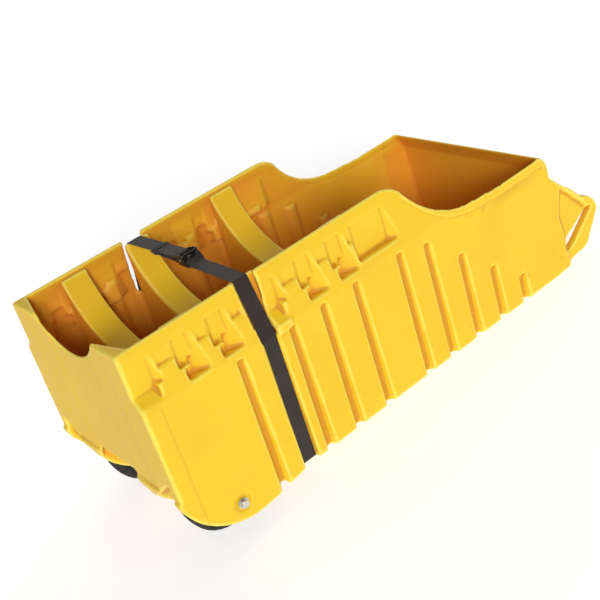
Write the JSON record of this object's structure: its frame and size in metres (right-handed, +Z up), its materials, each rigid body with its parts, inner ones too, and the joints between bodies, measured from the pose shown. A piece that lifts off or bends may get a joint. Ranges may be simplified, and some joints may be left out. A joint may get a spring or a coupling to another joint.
{
  "type": "drum dolly",
  "caption": "Moulded tub on two wheels that cradles a drum on its side over a sump, with a cam-buckle strap and moulded hand holes.",
  "frame": {"origin": "centre of the bounding box in plan, on the floor that the dolly rests on", "axes": "+X along the length from the wheel end to the handle end, +Y to the left looking along +X, +Z up; the tub leans 3.9 degrees down to the handle end about Y"},
  "size_m": [1.8296, 0.73, 0.7395],
  "materials": {
    "tub_plastic": "satin",
    "tyre_rubber": "matte",
    "hub_plastic": "satin",
    "zinc_steel": "satin",
    "bush_nylon": "satin",
    "spacer_plastic": "satin",
    "webbing": "matte",
    "black_steel": "satin",
    "spring_steel": "satin",
    "elastic": "matte"
  },
  "bodies": {
    "dolly": {"tub": "tub_plastic", "axle": "zinc_steel", "strap_webbing": "webbing", "buckle_frame": "black_steel", "cam_pin": "zinc_steel", "cam_spring": "spring_steel", "tail_keeper": "elastic", "axle_washer_left": "zinc_steel", "axle_bolt_left": "zinc_steel", "axle_spacer_outer_left": "spacer_plastic", "axle_spacer_inner_left": "spacer_plastic", "axle_washer_right": "zinc_steel", "axle_bolt_right": "zinc_steel", "axle_spacer_outer_right": "spacer_plastic", "axle_spacer_inner_right": "spacer_plastic"},
    "cam_lever": {"cam_lever": "black_steel"},
    "wheel_left": {"tyre_left": "tyre_rubber", "wheel_hub_left": "hub_plastic", "wheel_bush_outer_left": "bush_nylon", "wheel_bush_inner_left": "bush_nylon"},
    "wheel_right": {"tyre_right": "tyre_rubber", "wheel_hub_right": "hub_plastic", "wheel_bush_outer_right": "bush_nylon", "wheel_bush_inner_right": "bush_nylon"}
  },
  "joints": [
    {"name": "wheel_spin_left", "type": "hinge", "parent": "dolly", "child": "wheel_left", "pos_m": [-0.73981, 0.219, 0.128], "axis": [0, 1, 0], "continuous": true},
    {"name": "wheel_spin_right", "type": "hinge", "parent": "dolly", "child": "wheel_right", "pos_m": [-0.73981, -0.219, 0.128], "axis": [0, 1, 0], "continuous": true},
    {"name": "cam_release", "type": "hinge", "parent": "dolly", "child": "cam_lever", "pos_m": [-0.44367, -0.038, 0.71336], "axis": [0.9977, 0, -0.0674], "range_deg": [0, 30], "stiffness_Nm_per_rad": 0.5, "springref_deg": -20.05}
  ]
}
